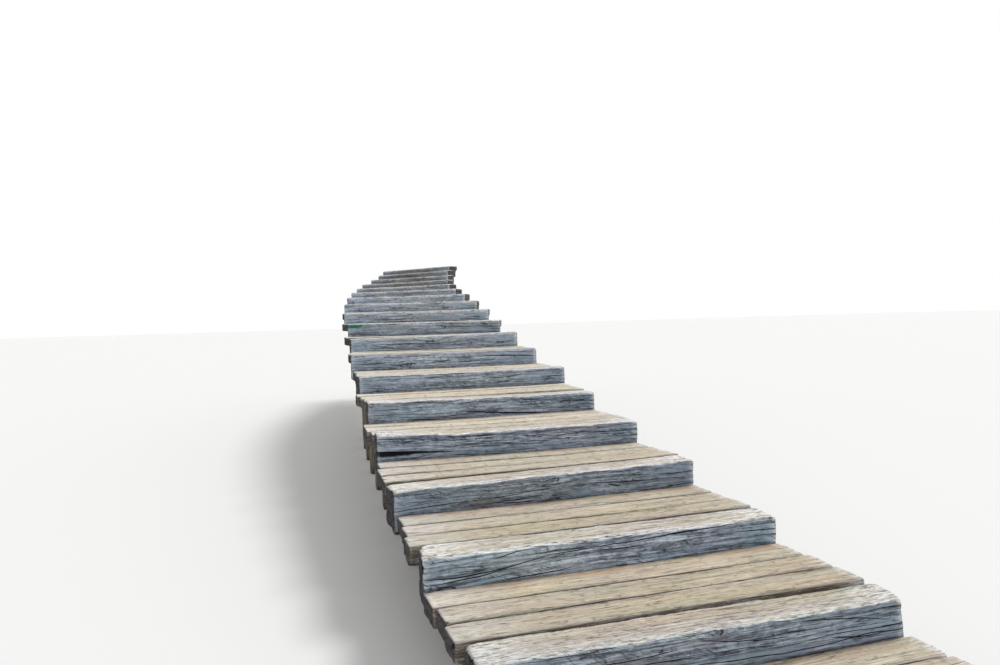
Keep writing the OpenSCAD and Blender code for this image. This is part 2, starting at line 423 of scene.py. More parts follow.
def timber_tree():
    """Geometry Nodes that turn each point, which carries a timber's axes, into a worn timber."""
    tree, given, nodes, result = new_tree(
        "Weathered timber",
        "GeometryNodeTree",
        [
            ("Geometry", "Geometry"),
            ("Cells along", "Int"),
            ("Cells across", "Int"),
            ("Cells up", "Int"),
            ("Round", "Float"),
            ("Front round", "Float"),
            ("End round", "Float"),
            ("Wander", "Float"),
            ("Hollow", "Float"),
            ("Chips", "Float"),
            ("Seed", "Int"),
            ("Material", "Material"),
        ],
        [("Geometry", "Geometry")],
    )

    def named(name, data_type="FLOAT_VECTOR"):
        return nodes.put("GeometryNodeInputNamedAttribute", {"Name": name}, data_type=data_type)

    def store(geometry, name, value, data_type="FLOAT_VECTOR"):
        return nodes.put(
            "GeometryNodeStoreNamedAttribute",
            {"Geometry": geometry, "Name": name, "Value": value},
            data_type=data_type,
            domain="POINT",
        )

    block = nodes.put(
        "GeometryNodeMeshCube",
        {
            "Size": (2, 2, 2),
            "Vertices X": given["Cells along"],
            "Vertices Y": given["Cells across"],
            "Vertices Z": given["Cells up"],
        },
    )
    block = store(block, "unit", nodes.put("GeometryNodeInputPosition"))
    copies = nodes.put("GeometryNodeInstanceOnPoints", {"Points": given["Geometry"], "Instance": block})
    timbers = nodes.put("GeometryNodeRealizeInstances", {"Geometry": copies})

    along, across, taper, upright = named("along"), named("across"), named("taper"), named("upright")
    number = nodes.math("MULTIPLY_ADD", named("number", "FLOAT"), PATTERN_STEP, given["Seed"])
    half = nodes.joined(*(nodes.vector("LENGTH", axis) for axis in (along, across, upright)))
    half_x, half_y, half_z = nodes.parts(half)

    # Cells are finer towards the edges, where the wear is
    unit = named("unit")
    closer = nodes.vector("SINE", nodes.scaled(unit, math.pi / 2))
    unit = nodes.vector("ADD", nodes.scaled(unit, EVEN), nodes.scaled(closer, 1 - EVEN))
    u, v, w = nodes.parts(unit)
    square_place = nodes.vector("MULTIPLY", unit, half)
    x = nodes.parts(square_place)[0]

    # Radius of the round: larger on the front top edge and at the ends, and never even
    front_top = nodes.times(nodes.ramp(v, 0.2, -0.8), nodes.ramp(w, -0.2, 0.7))
    radius = nodes.blend(front_top, given["Round"], given["Front round"])
    radius = nodes.blend(nodes.ramp(nodes.size(u), 0.93, 1.0), radius, given["End round"])
    chipped = nodes.noise(nodes.joined(nodes.times(x, 7.0), v, w), number, detail=3)
    radius = nodes.times(radius, nodes.ramp(chipped, 0.3, 0.7, 0.45, 1.6))
    inner = nodes.vector("SUBTRACT", half, nodes.joined(radius, radius, radius))
    core = nodes.vector("MAXIMUM", nodes.vector("MINIMUM", square_place, inner), nodes.scaled(inner, -1))
    outward = nodes.vector("NORMALIZE", nodes.vector("SUBTRACT", square_place, core))
    place = nodes.vector("ADD", core, nodes.scaled(outward, radius))
    nx, ny, nz = nodes.parts(outward)
    px, py, pz = nodes.parts(place)

    # Distance round the timber from its front top edge: below nought down the front, and above
    # it over the top and down the back
    on_top = nodes.math("POWER", nodes.largest(nz, 0.0), 2.0)
    on_back = nodes.math("POWER", nodes.largest(ny, 0.0), 2.0)
    below = nodes.math("POWER", nodes.largest(nodes.times(nz, -1.0), 0.0), 2.0)
    over_top = nodes.plus(py, half_y)
    down_back = nodes.plus(nodes.times(half_y, 2.0), nodes.minus(half_z, pz))
    under = nodes.times(nodes.plus(nodes.times(half_z, 2.0), over_top), -1.0)
    girth = nodes.blend(on_top, nodes.minus(pz, half_z), over_top)
    girth = nodes.blend(on_back, girth, down_back)
    girth = nodes.blend(below, girth, under)

    # An edge is where the outward direction leans away from every flat face
    steepest = nodes.largest(nodes.size(nx), nodes.size(ny), nodes.size(nz))
    edge = nodes.ramp(steepest, 0.995, 0.8)
    end = nodes.ramp(nodes.size(nx), 0.55, 0.9)

    # The whole timber is a little bowed, and its faces a little uneven
    bow = nodes.noise(nodes.joined(nodes.times(x, 1.1), 0.0, 0.0), number, detail=1, out=1)
    bow = nodes.vector("MULTIPLY", nodes.vector("SUBTRACT", bow, (0.5, 0.5, 0.5)), (0, 2, 1))
    swell = nodes.noise(nodes.vector("MULTIPLY", place, (3.2, 9, 9)), number, detail=2)
    ridges = nodes.noise(nodes.vector("MULTIPLY", place, (1.6, 48, 48)), number, detail=3)
    relief = nodes.times(nodes.centred(swell), given["Wander"])
    relief = nodes.math("MULTIPLY_ADD", nodes.centred(ridges), RIDGES, relief)
    # Splinters are lost along the edges, and the ends are ragged
    nibbles = nodes.noise(nodes.vector("MULTIPLY", place, (42, 80, 80)), number, detail=2)
    lost = nodes.times(nodes.ramp(nibbles, 0.42, 0.72), nodes.largest(edge, end))
    relief = nodes.minus(relief, nodes.times(lost, given["Chips"]))
    top = nodes.ramp(nz, 0.35, 0.85)
    middle = nodes.minus(1.0, nodes.times(u, u))
    relief = nodes.minus(relief, nodes.times(nodes.times(middle, top), given["Hollow"]))
    to_end = nodes.minus(half_x, nodes.size(px))
    to_side = nodes.minus(half_y, nodes.size(py))
    below_top = nodes.minus(half_z, pz)
    gape, opening, lift = gape_parts(nodes, px, below_top, to_end, to_side, named("gape"))
    relief = nodes.minus(relief, nodes.times(nodes.times(gape, opening), GAPE_DEPTH))
    worn_place = nodes.vector("ADD", place, nodes.scaled(bow, given["Wander"]))
    worn_place = nodes.vector("ADD", worn_place, nodes.scaled(outward, relief))

    su, sv, sw = nodes.parts(nodes.vector("DIVIDE", worn_place, half))
    world = nodes.vector("ADD", named("centre"), nodes.scaled(along, su))
    world = nodes.vector("ADD", world, nodes.scaled(across, sv))
    world = nodes.vector("ADD", world, nodes.scaled(taper, nodes.times(su, sv)))
    world = nodes.vector("ADD", world, nodes.scaled(upright, sw))
    left_lift, right_lift, _ = nodes.parts(named("lift"))
    from_left = nodes.math("MULTIPLY_ADD", su, 0.5, 0.5)
    from_foot = nodes.math("MULTIPLY_ADD", sw, 0.5, 0.5)
    lift = nodes.math("MULTIPLY_ADD", nodes.blend(from_left, left_lift, right_lift), from_foot, lift)
    world = nodes.vector("ADD", world, nodes.joined(0.0, 0.0, lift))
    left_stretch, right_stretch, _ = nodes.parts(named("stretch"))
    stretch = nodes.blend(from_left, nodes.times(left_stretch, -1.0), right_stretch)
    world = nodes.vector("ADD", world, nodes.scaled(nodes.vector("NORMALIZE", along), stretch))

    above_foot = nodes.plus(pz, half_z)

    timbers = store(timbers, "grain", place)
    timbers = store(timbers, "worn", nodes.joined(top, end, edge))
    timbers = store(timbers, "reach", nodes.joined(to_end, to_side, above_foot))
    timbers = store(timbers, "girth", girth, "FLOAT")
    timbers = nodes.put("GeometryNodeSetPosition", {"Geometry": timbers, "Position": world})
    timbers = nodes.put("GeometryNodeSetShadeSmooth", {"Geometry": timbers})
    timbers = nodes.put("GeometryNodeSetMaterial", {"Geometry": timbers, "Material": given["Material"]})
    tree.links.new(timbers, result.inputs[0])
    return tree


def solids_of(node):
    """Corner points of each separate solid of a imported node."""
    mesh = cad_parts[node].data
    points = np.empty(len(mesh.vertices) * 3)
    mesh.vertices.foreach_get("co", points)
    points = points.reshape(-1, 3)
    mesh.calc_loop_triangles()
    triangles = np.empty(len(mesh.loop_triangles) * 3, dtype=int)
    mesh.loop_triangles.foreach_get("vertices", triangles)
    cells = np.round(points / SAME_PLACE).astype(int)
    _, first, corner_of = np.unique(cells, axis=0, return_index=True, return_inverse=True)
    corners = points[first]
    triangles = corner_of.ravel()[triangles].reshape(-1, 3)
    label = np.arange(len(corners))
    while True:
        lowest = label[triangles].min(axis=1)
        spread = label.copy()
        for k in range(3):
            np.minimum.at(spread, triangles[:, k], lowest)
        if (spread == label).all():
            break
        label = spread
    return [corners[label == value] for value in np.unique(label)]


def plan_outline(points):
    """Four corners of a solid's foot, as they were before they were cut off, anticlockwise."""
    foot = points[points[:, 2] < points[:, 2].min() + SAME_PLACE][:, :2]
    middle = foot.mean(axis=0)
    foot = foot[np.argsort(np.arctan2(foot[:, 1] - middle[1], foot[:, 0] - middle[0]))]
    after = np.roll(foot, -1, axis=0)
    sides = [(p, q - p) for p, q in zip(foot, after) if np.hypot(*(q - p)) > SHORTEST_SIDE]
    corners = []
    for (p, along), (q, other) in zip(sides, sides[1:] + sides[:1]):
        reach = np.linalg.solve(np.column_stack((along, -other)), q - p)[0]
        corners.append(p + along * reach)
    return np.array(corners)


def timber_axes(points, lengthwise):
    """Middle of a timber and its half axes: along its grain, across, its taper and upright."""
    corners = plan_outline(points)
    low, high = points[:, 2].min(), points[:, 2].max()
    side = corners - np.roll(corners, 1, axis=0)
    # The side that runs most nearly lengthwise ends at the second corner of the ring
    first = int(np.argmax(side @ np.array(lengthwise)))
    a, b, c, d = (corners[(first + k - 1) % 4] for k in range(4))
    along, across, taper = (b + c - a - d) / 4, (c + d - a - b) / 4, (a + c - b - d) / 4
    centre = (*((a + b + c + d) / 4), (low + high) / 2)
    return centre, (*along, 0.0), (*across, 0.0), (*taper, 0.0), (0.0, 0.0, (high - low) / 2)


def standing(axes):
    """The axes of a post, whose grain runs up."""
    centre, along, across, taper, upright = axes
    return centre, upright, along, taper, across


def lift_of(number, proud):
    """How far the left and the right end of a timber have moved since it was laid."""
    return (*LIFTS.get(number, (-SETTLED * proud,) * 2), 0)


def tone_of(number):
    """How light the front and the top of a timber are beside the others of its kind."""
    return (*TONES.get(number, (1 + TONE_SPREAD * math.sin(TONE_TURN * number),) * 2), 0)


def add_marks(mesh, numbers, proud):
    """Stores the splits, gape, knot, paint, tones, lift and stretch of each timber on its point."""

    def store(label, rows):
        values = np.array(rows, dtype=np.float32).ravel()
        mesh.attributes.new(label, "FLOAT_VECTOR", "POINT").data.foreach_set("vector", values)

    for k in range(MOST_SPLITS):
        rows = [(*SPLITS.get(number, ()), *(NO_SPLIT,) * MOST_SPLITS)[k] for number in numbers]
        store("split_%d_start" % k, [(*start, sag) for start, end, sag, width in rows])
        store("split_%d_end" % k, [(*end, width) for start, end, sag, width in rows])
    store("gape", [GAPES.get(number, (-1, 0, 1)) for number in numbers])
    store("knot", [KNOTS.get(number, (0, 0, 0.0001)) for number in numbers])
    marks = [PAINT.get(number, ((0, 0, 0), (0, 0, 0))) for number in numbers]
    store("paint_along", [along for along, down in marks])
    store("paint_down", [down for along, down in marks])
    store("tone", [tone_of(number) for number in numbers])
    store("lift", [lift_of(number, height) for number, height in zip(numbers, proud)])
    store("stretch", [(*STRETCHES.get(number, (0, 0)), 0) for number in numbers])


def points_mesh(name, timbers, first_number, level):
    """A mesh with one point a timber, which carries the timber's axes, number and marks."""
    mesh = bpy.data.meshes.new(name)
    mesh.from_pydata([timber[0] for timber in timbers], [], [])
    for k, label in enumerate(AXES):
        values = np.array([timber[k] for timber in timbers], dtype=np.float32)
        mesh.attributes.new(label, "FLOAT_VECTOR", "POINT").data.foreach_set("vector", values.ravel())
    numbers = np.arange(first_number, first_number + len(timbers))
    mesh.attributes.new("number", "FLOAT", "POINT").data.foreach_set("value", numbers.astype(np.float32))
    tops = [centre[2] + upright[2] for centre, along, across, taper, upright in timbers]
    add_marks(mesh, numbers.tolist(), [0 if level is None else top - level for top in tops])
    return mesh


def weathered(node, timbers, first_number, cells, sizes, material, level=None):
    """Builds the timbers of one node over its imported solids, settled towards a level if it has one."""
    name = node + "_timber"
    points = points_mesh(name + "_points", timbers, first_number, level)
    maker = bpy.data.objects.new(name + "_points", points)
    bpy.context.scene.collection.objects.link(maker)
    tree = bpy.data.node_groups.get("Weathered timber") or timber_tree()
    modifier = maker.modifiers.new("Weathered timber", "NODES")
    modifier.node_group = tree
    sockets = {item.name: item.identifier for item in tree.interface.items_tree if item.in_out == "INPUT"}
    values = dict(zip(("Cells along", "Cells across", "Cells up"), cells), **sizes, Material=material)
    for label, value in values.items():
        modifier[sockets[label]] = value
    evaluated = maker.evaluated_get(bpy.context.evaluated_depsgraph_get())
    mesh = bpy.data.meshes.new_from_object(evaluated)
    if not mesh.polygons:
        raise RuntimeError("no timber was built for " + node)
    maker.modifiers.remove(modifier)
    bpy.data.objects.remove(maker)
    mesh.name = name
    mesh.materials.clear()
    mesh.materials.append(material)
    mesh.polygons.foreach_set("material_index", np.zeros(len(mesh.polygons), dtype=np.int32))
    piece = bpy.data.objects.new(name, mesh)
    bpy.context.scene.collection.objects.link(piece)
    for label in ("unit", *AXES, "lift", "stretch"):
        if label in mesh.attributes:
            mesh.attributes.remove(mesh.attributes[label])
    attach(piece, "root")
    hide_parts(node)
    return piece


def fill_grain(nodes, given):
    """Streaks, fibres, specks and fine cracks of a timber, which part round its knots."""
    x, girth = given["Along"], given["Girth"]
    number = nodes.times(given["Number"], PATTERN_STEP)
    drift = nodes.flat_noise(nodes.times(x, 0.9), nodes.times(girth, 3.0), number)
    wave = nodes.flat_noise(nodes.times(x, 3.4), nodes.times(girth, 14.0), number)
    # Small knots lie in the cells of a coarse pattern, in about a third of them
    spot_x = nodes.math("MULTIPLY_ADD", x, 1.1, nodes.times(number, 7.13))
    spot_y = nodes.math("MULTIPLY_ADD", girth, 4.2, nodes.times(number, 3.71))
    spots = nodes.put(
        "ShaderNodeTexVoronoi",
        {"Vector": nodes.joined(spot_x, spot_y, 0.0), "Scale": 1.0},
        voronoi_dimensions="2D",
    ).node.outputs
    has_knot = nodes.math("GREATER_THAN", nodes.parts(spots["Color"])[0], 0.66)
    near = nodes.times(nodes.ramp(spots["Distance"], 0.34, 0.0), has_knot)
    small_knots = nodes.size(nodes.minus(spots["Distance"], 0.036))
    small_knots = nodes.times(nodes.ramp(small_knots, 0.014, 0.004), has_knot)
    # The timber's own knot, round which the grain bulges
    radius = given["Knot radius"]
    across = nodes.math("DIVIDE", nodes.plus(girth, given["Knot depth"]), radius)
    along = nodes.math("DIVIDE", nodes.minus(x, given["Knot along"]), nodes.times(radius, 1.8))
    far = nodes.math("SQRT", nodes.plus(nodes.times(along, along), nodes.times(across, across)))
    # A knot shows as a dark ring, broken where the grain runs into it, round a fainter heart
    ring = nodes.ramp(nodes.size(nodes.minus(far, 0.85)), 0.32, 0.10)
    ring = nodes.times(ring, nodes.ramp(nodes.flat_noise(nodes.times(along, 0.9), across, 2.6), 0.40, 0.52))
    knots = nodes.largest(small_knots, ring, nodes.ramp(far, 0.7, 0.3, 0.0, 0.45))
    bulge = nodes.times(nodes.ramp(far, 4.0, 0.4), radius)
    bulge = nodes.times(bulge, nodes.math("DIVIDE", across, nodes.plus(nodes.size(across), 0.6)))
    # A slow drift, quicker waves and the knots bend the grain, and all that follows it
    bent = nodes.math("MULTIPLY_ADD", nodes.centred(drift), 0.030, nodes.minus(girth, bulge))
    bent = nodes.math("MULTIPLY_ADD", nodes.centred(wave), 0.016, bent)
    bent = nodes.math("MULTIPLY_ADD", near, 0.020, bent)
    streaks = nodes.flat_noise(nodes.times(x, 2.0), nodes.times(bent, 70.0), number, 4.5, 0.66)
    fibres = nodes.flat_noise(nodes.times(x, 9.0), nodes.times(bent, 210.0), number, 3.5, 0.65)
    specks = nodes.flat_noise(nodes.times(x, 24.0), nodes.times(bent, 60.0), number, 3.5, 0.72)
    field = nodes.flat_noise(nodes.times(x, 1.5), nodes.times(bent, 36.0), nodes.plus(number, 9.0), 2.5)
    # Hairlines run where another noise crosses its middle
    width = nodes.ramp(wave, 0.42, 0.64, 0.003, 0.016)
    off = nodes.size(nodes.centred(field))
    hairlines = nodes.ramp(off, width, nodes.times(width, 0.35))
    # Short cracks across the grain, in patches
    slant = nodes.math("MULTIPLY_ADD", x, 30.0, nodes.times(bent, 45.0))
    ticks = nodes.size(nodes.centred(nodes.flat_noise(slant, nodes.times(bent, 22.0), number, 1.5)))
    ticks = nodes.times(nodes.ramp(ticks, 0.030, 0.008), nodes.ramp(wave, 0.49, 0.62))
    return streaks, fibres, specks, hairlines, bent, knots, ticks


def fill_checks(nodes, given):
    """Dark lines in lanes along the grain, each of which opens and closes as it runs."""
    x, spacing = given["Along"], given["Spacing"]
    own_number = nodes.times(given["Number"], PATTERN_STEP)
    lane = nodes.math("DIVIDE", given["Girth"], spacing)
    sway = nodes.flat_noise(nodes.times(x, 0.8), BETWEEN, own_number)
    lane = nodes.math("MULTIPLY_ADD", sway, 0.7, lane)
    index = nodes.math("FLOOR", lane)
    within = nodes.minus(nodes.minus(lane, index), 0.5)
    own = nodes.math("MULTIPLY_ADD", index, 7.31, own_number)
    run = nodes.math("DIVIDE", x, given["Length"])
    wander = nodes.flat_noise(nodes.times(run, 1.3), own, BETWEEN)
    strength = nodes.flat_noise(run, own, 40.0, detail=1.5)
    # A check is open where the noise of its lane is above this: the larger the share, the lower
    shut = nodes.math("MULTIPLY_ADD", given["Share"], -0.35, 0.675)
    opened = nodes.ramp(strength, shut, nodes.plus(shut, 0.16))
    width = nodes.largest(nodes.times(given["Width"], opened), CLOSED)
    line = nodes.times(nodes.centred(wander), 1.3)
    off = nodes.times(nodes.size(nodes.minus(within, line)), spacing)
    return (nodes.ramp(off, width, nodes.times(width, 0.35)),)


def fill_split(nodes, given):
    """One long split from a start to an end on the front of a timber."""
    x = given["Along"]
    length = nodes.minus(given["End"], given["Start"])
    reach = nodes.math("DIVIDE", nodes.minus(x, given["Start"]), length)
    reach = nodes.put("ShaderNodeClamp", {0: reach, 1: 0.0, 2: 1.0})
    arch = nodes.times(nodes.times(reach, nodes.minus(1.0, reach)), 4.0)
    depth = nodes.blend(reach, given["Start depth"], given["End depth"])
    depth = nodes.math("MULTIPLY_ADD", arch, given["Sag"], depth)
    own = nodes.times(given["Start depth"], 50.0)
    shake = nodes.flat_noise(nodes.times(x, 9.0), BETWEEN, own, 3.0)
    depth = nodes.math("MULTIPLY_ADD", nodes.centred(shake), 0.012, depth)
    width = nodes.largest(nodes.times(given["Width"], nodes.math("SQRT", arch)), CLOSED)
    off = nodes.size(nodes.plus(given["Girth"], depth))
    return (nodes.ramp(off, width, nodes.times(width, 0.55)),)


def fill_paint(nodes, given):
    """A ragged mark between two ends, a top and a foot."""
    ragged = nodes.flat_noise(nodes.times(given["Along"], 30.0), nodes.times(given["Down"], 90.0), 0.0, 3.0)
    ragged = nodes.times(nodes.centred(ragged), 0.05)
    x, down = nodes.plus(given["Along"], ragged), nodes.math("MULTIPLY_ADD", ragged, 0.5, given["Down"])
    mask = given["Strength"]
    for value, limit, soft in (
        (x, given["Start"], 0.008),
        (x, given["End"], -0.020),
        (down, given["Top"], 0.006),
        (down, given["Foot"], -0.006),
    ):
        mask = nodes.times(mask, nodes.ramp(value, nodes.minus(limit, soft), nodes.plus(limit, soft)))
    return (mask,)


def fill_end(nodes, given):
    number = given["Number"]
    # The heart lies somewhere else in each timber
    heart_y = nodes.times(nodes.math("SINE", nodes.times(number, 2.4)), 0.05)
    heart_z = nodes.times(nodes.math("COSINE", nodes.times(number, 1.7)), 0.06)
    y, z = nodes.minus(given["Across"], heart_y), nodes.minus(given["Up"], heart_z)
    far = nodes.math("SQRT", nodes.plus(nodes.times(y, y), nodes.times(z, z)))
    wobble = nodes.flat_noise(nodes.times(y, 14.0), nodes.times(z, 14.0), number)
    far = nodes.math("MULTIPLY_ADD", wobble, 0.02, far)
    rings = nodes.math("MULTIPLY_ADD", nodes.math("SINE", nodes.times(far, 1300.0)), 0.5, 0.5)
    bearing = nodes.times(nodes.math("ARCTAN2", z, y), 4.5)
    rays = nodes.flat_noise(bearing, nodes.times(far, 8.0), number)
    return rings, nodes.ramp(nodes.size(nodes.centred(rays)), 0.028, 0.006)


def rgba(colour):
    """A stored colour with full opacity."""
    return (*colour, 1.0)


class TimberSurface:
    """A timber material in the making: its attributes, its grain and its sawn ends."""

    def __init__(self, name):
        self.material = bpy.data.materials.new(name)
        self.material.use_nodes = True
        self.material.node_tree.nodes.clear()
        nodes = self.nodes = Nodes(self.material.node_tree)
        self.colours = bpy.context.scene.steps_colours
        self.x, self.y, self.z = nodes.parts(nodes.stored("grain"))
        self.girth = nodes.stored_number("girth")
        self.number = nodes.stored_number("number")
        self.top, self.end, self.edge = nodes.parts(nodes.stored("worn"))
        self.to_end, self.to_side, self.above_foot = nodes.parts(nodes.stored("reach"))
        knot_along, knot_depth, knot_radius = nodes.parts(nodes.stored("knot"))
        group = shader_group(
            "Long grain",
            ("Along", "Girth", "Number", "Knot along", "Knot depth", "Knot radius"),
            ("Streaks", "Fibres", "Specks", "Hairlines", "Bent girth", "Knots", "Ticks"),
            fill_grain,
        )
        values = {"Along": self.x, "Girth": self.girth, "Number": self.number,
                  "Knot along": knot_along, "Knot depth": knot_depth, "Knot radius": knot_radius}
        grain = nodes.group(group, values)
        self.streaks, self.fibres, self.specks, self.hairlines, self.bent, self.knots, self.ticks = grain
        group = shader_group("Sawn end", ("Across", "Up", "Number"), ("Rings", "Checks"), fill_end)
        self.rings, self.rays = nodes.group(group, {"Across": self.y, "Up": self.z, "Number": self.number})
        self.front_tone, self.top_tone, _ = nodes.parts(nodes.stored("tone"))
        # The tone along the grain, from its broad streaks to its specks
        self.fine = nodes.math("MULTIPLY_ADD", self.fibres, 0.32, nodes.times(self.streaks, 0.40))
        self.fine = nodes.math("MULTIPLY_ADD", self.specks, 0.28, self.fine)

    def tones(self, dark, middle, pale, spread=0.07):
        """Three tones of one face along its streaks."""
        low = self.nodes.tint(self.nodes.ramp(self.fine, 0.5 - spread, 0.5), rgba(dark), rgba(middle))
        return self.nodes.tint(self.nodes.ramp(self.fine, 0.5, 0.5 + spread), low, rgba(pale))

    def ragged(self, along, across, detail=3.0, roughness=0.6):
        """Noise that follows the grain, for the borders of stains and bleached places."""
        x, bent = self.nodes.times(self.x, along), self.nodes.times(self.bent, across)
        return self.nodes.flat_noise(x, bent, self.number, detail, roughness)

    def left_to_right(self, left, right):
        """One number on the left half of the timber and another on the right."""
        return self.nodes.ramp(self.x, -0.1, 0.1, left, right)

    def checks(self, spacing, width, length, share):
        """Drying checks of one size."""
        group = shader_group(
            "Drying checks", ("Along", "Girth", "Number", "Spacing", "Width", "Length", "Share"), ("Mask",),
            fill_checks,
        )
        values = {"Along": self.x, "Girth": self.bent, "Number": self.number, "Spacing": spacing,
                  "Width": width, "Length": length, "Share": share}
        return self.nodes.group(group, values)[0]

    def splits(self):
        """The long splits and the gape that the timber carries."""
        nodes = self.nodes
        group = shader_group(
            "Long split",
            ("Along", "Girth", "Start", "Start depth", "Sag", "End", "End depth", "Width"),
            ("Mask",),
            fill_split,
        )
        gape = nodes.stored("gape")
        below_top = nodes.math("MULTIPLY_ADD", self.z, -2.0, self.above_foot)
        mask = gape_parts(nodes, self.x, below_top, self.to_end, self.to_side, gape)[0]
        for k in range(MOST_SPLITS):
            start = nodes.stored("split_%d_start" % k)
            end = nodes.stored("split_%d_end" % k)
            values = {"Along": self.x, "Girth": self.girth}
            values.update(zip(("Start", "Start depth", "Sag"), nodes.parts(start)))
            values.update(zip(("End", "End depth", "Width"), nodes.parts(end)))
            mask = nodes.largest(mask, nodes.group(group, values)[0])
        return mask

    def paint(self):
        """The mark of paint that the timber carries."""
        nodes = self.nodes
        group = shader_group(
            "Paint mark", ("Along", "Down", "Start", "End", "Strength", "Top", "Foot"), ("Mask",), fill_paint
        )
        along = nodes.stored("paint_along")
        down = nodes.stored("paint_down")
        values = {"Along": self.x, "Down": nodes.times(self.girth, -1.0)}
        values.update(zip(("Start", "End", "Strength"), nodes.parts(along)))
        values.update(zip(("Top", "Foot"), nodes.parts(down)))
        return nodes.group(group, values)[0]

    def finish(self, colour, crack):
        """Adds the sawn ends, the checks, the relief and the shader."""
        nodes, colours = self.nodes, self.colours
        thread = nodes.ramp(self.fibres, 0.3, 0.7, 0.86, 1.12)
        shade = nodes.times(thread, nodes.blend(self.top, self.front_tone, self.top_tone))
        # Broad patches lean to yellow, pink or blue
        spots = nodes.joined(nodes.times(self.x, 1.9), nodes.times(self.bent, 9.0), BETWEEN)
        lean = nodes.vector("SUBTRACT", nodes.noise(spots, self.number, out=1), (0.5, 0.5, 0.5))
        lean = nodes.vector("MULTIPLY_ADD", lean, HUE_LEAN, (1.0, 1.0, 1.0))
        colour = nodes.tint(1.0, colour, nodes.scaled(lean, shade), "MULTIPLY")
        ring_shade = nodes.math("MULTIPLY_ADD", self.rings, 0.3, nodes.ramp(self.streaks, 0.3, 0.7, 0.0, 0.4))
        # The left ends are painted darker than the right: painted shade of the side turned from the light
        ring_shade = nodes.times(ring_shade, self.left_to_right(0.3, 1.0))
        end_colour = nodes.tint(ring_shade, rgba(colours.end_grain), rgba(colours.end_grain_pale))
        colour = nodes.tint(self.end, colour, end_colour)
        crack = nodes.largest(crack, nodes.times(self.knots, 0.85))
        crack = nodes.blend(self.end, crack, self.rays)
        colour = nodes.tint(nodes.times(crack, 0.97), colour, rgba(colours.split))
        # The streaks stand out and the cracks cut in
        height = nodes.math("MULTIPLY_ADD", self.fibres, 0.16, nodes.times(self.streaks, 0.6))
        height = nodes.math("MULTIPLY_ADD", self.specks, 0.15, height)
        height = nodes.minus(height, crack)
        depth = bpy.context.scene.steps_wear.check_depth
        bump = nodes.put("ShaderNodeBump", {"Height": height, "Strength": 0.8, "Distance": depth})
        rough = nodes.ramp(self.streaks, 0.3, 0.7, 0.92, 0.74)
        shader = nodes.put(
            "ShaderNodeBsdfPrincipled", {"Base Color": colour, "Roughness": rough, "Normal": bump}
        )
        shader.node.inputs["Specular IOR Level"].default_value = 0.08
        nodes.put("ShaderNodeOutputMaterial", {"Surface": shader})
        return self.material


